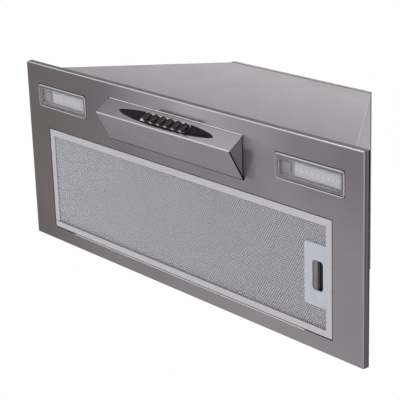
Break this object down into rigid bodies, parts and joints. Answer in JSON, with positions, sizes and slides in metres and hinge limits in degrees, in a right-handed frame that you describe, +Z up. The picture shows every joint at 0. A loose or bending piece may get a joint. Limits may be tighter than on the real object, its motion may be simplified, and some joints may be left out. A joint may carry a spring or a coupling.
{
  "type": "built-in range hood",
  "caption": "Built-in range hood: stainless faceplate with folded control ridge, push-buttons, two lamps and a tilt-down grease filter, under a tapered grey housing with blower and duct collar.",
  "frame": {"origin": "middle of the seat plane, where the housing's foot flanges meet the underside of the cabinet floor", "axes": "+X to the cook's right along the faceplate, +Y from the cook to the wall, +Z up along the duct"},
  "size_m": [0.7, 0.272, 0.2979],
  "materials": {
    "stainless": "fine brushed stainless steel",
    "grey_paint": "satin light grey paint",
    "zinc_sheet": "zinc-coated sheet steel, dull",
    "screw_zinc": "bright zinc-plated screws",
    "bezel_black": "polished black",
    "surround_silver": "silver metallic",
    "button_black": "polished near-black",
    "switch_grey": "moulded",
    "lamp_clear": "clear moulded cover",
    "lamp_white": "white coated board",
    "lamp_box": "moulded light grey",
    "filter_aluminium": "bright rolled",
    "mesh_aluminium": "expanded sheet",
    "latch_pale": "pale blue-grey moulding",
    "latch_dark": "dark grey moulding",
    "latch_grey": "mid grey moulding",
    "spring_steel": "rolled strip",
    "foam": "closed-cell foam",
    "bush_rubber": "soft black rubber",
    "wheel_steel": "zinc-coated",
    "motor_paint": "satin dark grey paint",
    "motor_cast": "as cast",
    "shaft_steel": "ground steel",
    "collar_black": "moulded dark grey",
    "flap_grey": "moulded grey",
    "capacitor_white": "white can",
    "driver_white": "white case",
    "terminal_black": "black case"
  },
  "bodies": {
    "hood_body": {"fascia_panel": "stainless", "control_ridge": "stainless", "ridge_end_left": "stainless", "ridge_end_right": "stainless", "housing_front": "grey_paint", "housing_rear": "grey_paint", "housing_side_left": "grey_paint", "housing_side_right": "grey_paint", "top_cover": "grey_paint", "cross_rail_front": "zinc_sheet", "cross_rail_rear": "zinc_sheet", "scroll_wrap": "zinc_sheet", "scroll_side_left": "zinc_sheet", "scroll_side_right": "zinc_sheet", "scroll_hangers": "zinc_sheet", "switch_brackets": "zinc_sheet", "capacitor_clip": "zinc_sheet", "motor_spider": "zinc_sheet", "latch_keeper": "zinc_sheet", "fascia_screws": "screw_zinc", "roof_screws": "screw_zinc", "motor_screws": "screw_zinc", "control_bezel": "bezel_black", "button_surround": "surround_silver", "switch_block": "switch_grey", "lamp_lens_left": "lamp_clear", "lamp_lens_right": "lamp_clear", "led_board_left": "lamp_white", "led_board_right": "lamp_white", "lamp_terminal_left": "lamp_white", "lamp_terminal_right": "lamp_white", "lamp_housing_left": "lamp_box", "lamp_housing_right": "lamp_box", "outlet_gasket": "foam", "motor_grommets": "bush_rubber", "motor_body": "motor_paint", "motor_end_cap": "motor_cast", "outlet_collar": "collar_black", "capacitor": "capacitor_white", "led_driver": "driver_white", "terminal_box": "terminal_black", "cable_gland": "terminal_black"},
    "grease_filter": {"filter_frame": "filter_aluminium", "filter_mesh_front": "mesh_aluminium", "filter_core": "mesh_aluminium", "filter_mesh_rear": "mesh_aluminium", "latch_plate": "latch_pale", "latch_cup": "latch_dark", "latch_spring": "spring_steel"},
    "filter_latch": {"latch_slider": "latch_grey"},
    "fan_rotor": {"fan_wheel": "wheel_steel", "motor_shaft": "shaft_steel"},
    "damper_left": {"damper_flap_left": "flap_grey"},
    "damper_right": {"damper_flap_right": "flap_grey"},
    "button_1": {"push_button_1": "button_black"},
    "button_2": {"push_button_2": "button_black"},
    "button_3": {"push_button_3": "button_black"},
    "button_4": {"push_button_4": "button_black"},
    "button_5": {"push_button_5": "button_black"},
    "button_6": {"push_button_6": "button_black"}
  },
  "joints": [
    {"name": "filter_swing", "type": "hinge", "parent": "hood_body", "child": "grease_filter", "pos_m": [-0.2993, 0.0369, -0.0098], "axis": [0, 1, 0], "range_deg": [0, 80]},
    {"name": "latch_slide", "type": "slide", "parent": "grease_filter", "child": "filter_latch", "axis": [-1, 0, 0], "range_m": [0, 0.005], "stiffness_N_per_m": 300, "springref_m": -0.004, "deforming": ["latch_spring"]},
    {"name": "fan_spin", "type": "hinge", "parent": "hood_body", "child": "fan_rotor", "pos_m": [0, -0.013, 0.112], "axis": [1, 0, 0], "continuous": true},
    {"name": "damper_left_hinge", "type": "hinge", "parent": "hood_body", "child": "damper_left", "pos_m": [-0.003, 0.042, 0.2365], "axis": [0, 1, 0], "range_deg": [0, 78]},
    {"name": "damper_right_hinge", "type": "hinge", "parent": "hood_body", "child": "damper_right", "pos_m": [0.003, 0.042, 0.2365], "axis": [0, -1, 0], "range_deg": [0, 78]},
    {"name": "button_1_press", "type": "slide", "parent": "hood_body", "child": "button_1", "axis": [0, 0.8191, 0.5737], "range_m": [0, 0.003], "stiffness_N_per_m": 600, "springref_m": -0.0015},
    {"name": "button_2_press", "type": "slide", "parent": "hood_body", "child": "button_2", "axis": [0, 0.8191, 0.5737], "range_m": [0, 0.003], "stiffness_N_per_m": 600, "springref_m": -0.0015},
    {"name": "button_3_press", "type": "slide", "parent": "hood_body", "child": "button_3", "axis": [0, 0.8191, 0.5737], "range_m": [0, 0.003], "stiffness_N_per_m": 600, "springref_m": -0.0015},
    {"name": "button_4_press", "type": "slide", "parent": "hood_body", "child": "button_4", "axis": [0, 0.8191, 0.5737], "range_m": [0, 0.003], "stiffness_N_per_m": 600, "springref_m": -0.0015},
    {"name": "button_5_press", "type": "slide", "parent": "hood_body", "child": "button_5", "axis": [0, 0.8191, 0.5737], "range_m": [0, 0.003], "stiffness_N_per_m": 600, "springref_m": -0.0015},
    {"name": "button_6_press", "type": "slide", "parent": "hood_body", "child": "button_6", "axis": [0, 0.8191, 0.5737], "range_m": [0, 0.003], "stiffness_N_per_m": 600, "springref_m": -0.0015}
  ]
}
